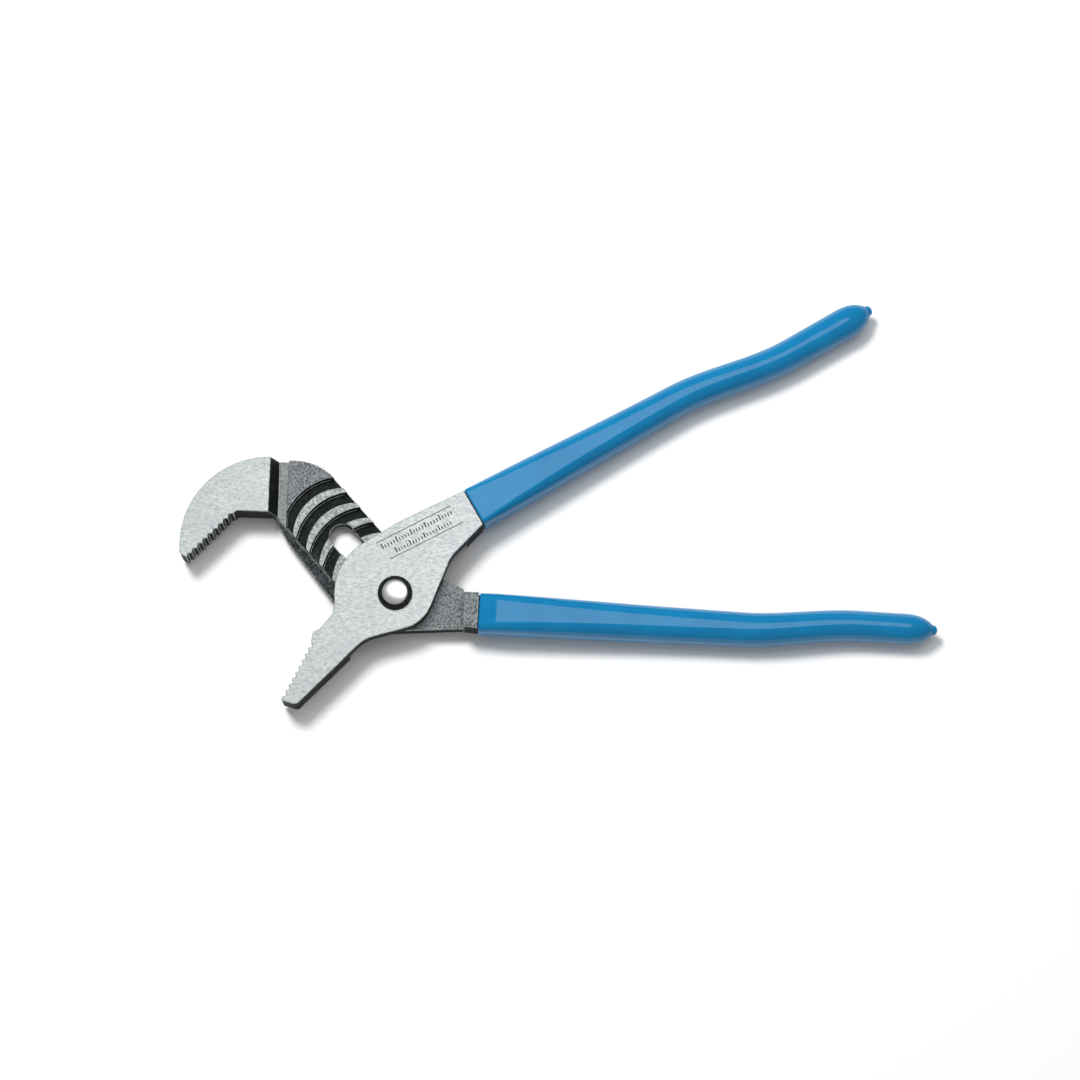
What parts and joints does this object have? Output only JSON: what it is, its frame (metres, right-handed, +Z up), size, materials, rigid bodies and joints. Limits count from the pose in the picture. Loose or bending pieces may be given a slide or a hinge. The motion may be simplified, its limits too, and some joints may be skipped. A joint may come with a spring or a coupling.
{
  "type": "tongue and groove pliers",
  "caption": "Tongue and groove pliers: two crossed forgings, a hooked toothed jaw, arc channels, a bolt pivot that slides in a slot, and dipped plastic grips.",
  "frame": {"origin": "on the bolt's axis, at the flat end of the bolt that the pliers lie on", "axes": "+X along the channel half's handle, +Z up from the face they lie on, towards the bolt's head"},
  "size_m": [0.2415, 0.1335, 0.0143],
  "materials": {
    "forged_steel": "fine ground front faces, darker as-forged recesses",
    "bolt_steel": "polished head",
    "blue_plastic": "glossy dipped coating"
  },
  "bodies": {
    "channel_half": {"channel_half": "forged_steel", "channel_handle_grip": "blue_plastic"},
    "pivot": {"pivot_bolt": "bolt_steel", "pivot_nut": "bolt_steel"},
    "tongue_half": {"tongue_half": "forged_steel", "tongue_handle_grip": "blue_plastic"}
  },
  "joints": [
    {"name": "channel_slide", "type": "slide", "parent": "channel_half", "child": "pivot", "axis": [-0.6574, 0.7536, 0], "range_m": [0, 0.0262]},
    {"name": "jaw_pivot", "type": "hinge", "parent": "pivot", "child": "tongue_half", "pos_m": [0, 0, 0.0095], "axis": [0, 0, 1], "range_deg": [-32, 30]}
  ]
}
